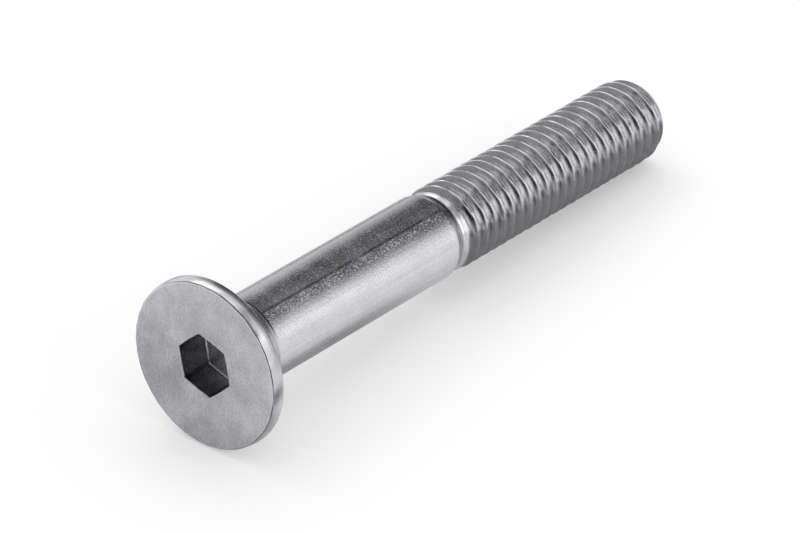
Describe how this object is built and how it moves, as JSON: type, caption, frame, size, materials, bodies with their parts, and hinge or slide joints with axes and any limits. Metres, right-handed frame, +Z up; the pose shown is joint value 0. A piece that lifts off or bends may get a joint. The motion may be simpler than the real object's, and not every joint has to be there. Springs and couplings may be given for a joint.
{
  "type": "countersunk socket screw",
  "caption": "Countersunk screw with a hexagon socket, a plain shank and a threaded end, lying on its side.",
  "frame": {"origin": "on the ground under the middle of the screw's bounding box, as it lies on its head's rim and its tip", "axes": "+X from the head to the tip along the ground, +Z up; the screw's own axis falls 3.78 degrees from the head to the tip"},
  "size_m": [0.0606, 0.0154, 0.0155],
  "materials": {
    "stainless": "satin stainless steel, as forged and rolled, with faint drawing lines on the shank"
  },
  "bodies": {
    "root": {"screw": "stainless"}
  },
  "joints": []
}
